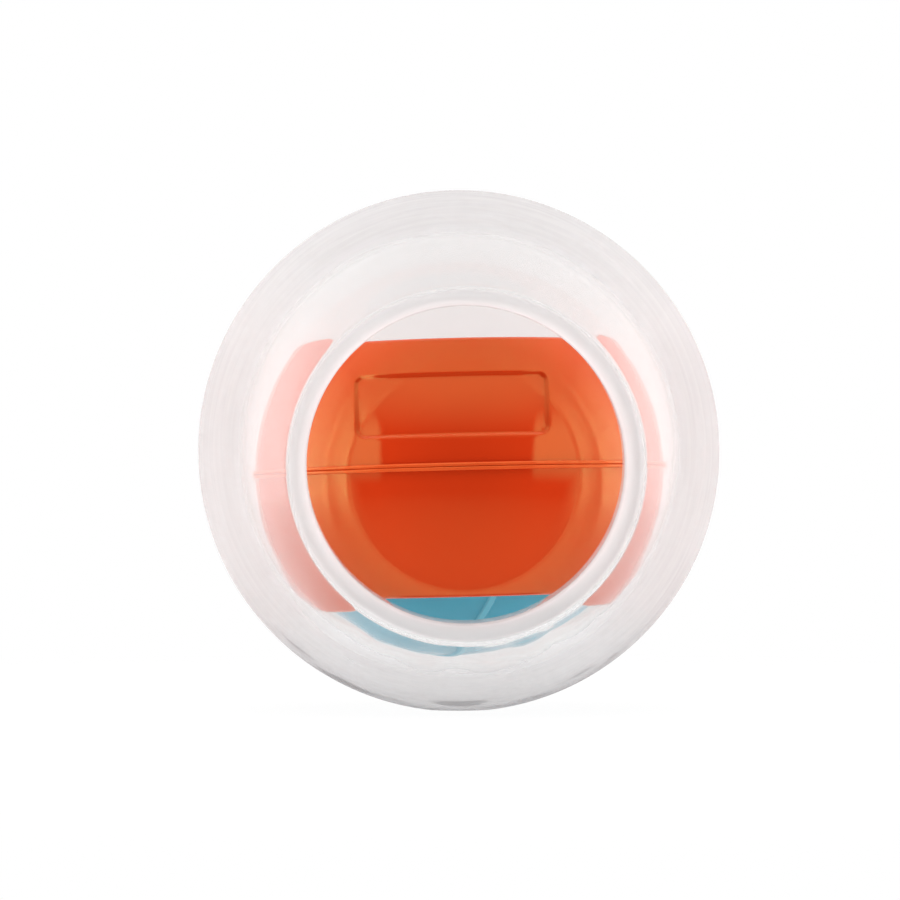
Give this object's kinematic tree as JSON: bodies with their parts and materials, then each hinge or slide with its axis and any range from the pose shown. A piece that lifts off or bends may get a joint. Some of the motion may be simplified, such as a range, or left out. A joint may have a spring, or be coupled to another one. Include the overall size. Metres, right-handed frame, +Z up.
{
  "type": "treat dispensing ball",
  "caption": "Clear soft pet toy ball with one round mouth, holding a loose capsule whose bowl-like treat ball turns inside a belt to let treats out.",
  "frame": {"origin": "middle of the small flat on which the soft ball stands", "axes": "+Z up, -Y the way the mouth looks (it dips a few degrees), +X to the right seen from the mouth's side"},
  "size_m": [0.127, 0.1156, 0.1265],
  "materials": {
    "soft_clear": "clear with a milky haze, glossy, slightly wavy inside",
    "orange_plastic": "glossy moulded plastic",
    "blue_plastic": "satin to glossy moulded plastic"
  },
  "bodies": {
    "outer_ball": {"outer_ball": "soft_clear"},
    "belt": {"belt_upper": "orange_plastic", "belt_lower": "orange_plastic"},
    "treat_ball": {"treat_ball": "blue_plastic"}
  },
  "joints": [
    {"name": "capsule_tumble", "type": "hinge", "parent": "outer_ball", "child": "belt", "pos_m": [0, 0, 0.063], "axis": [1, 0, 0], "continuous": true},
    {"name": "treat_ball_turn", "type": "hinge", "parent": "belt", "child": "treat_ball", "pos_m": [0.00012, 0, 0.05818], "axis": [0.9219, 0.3875, 0], "continuous": true}
  ]
}
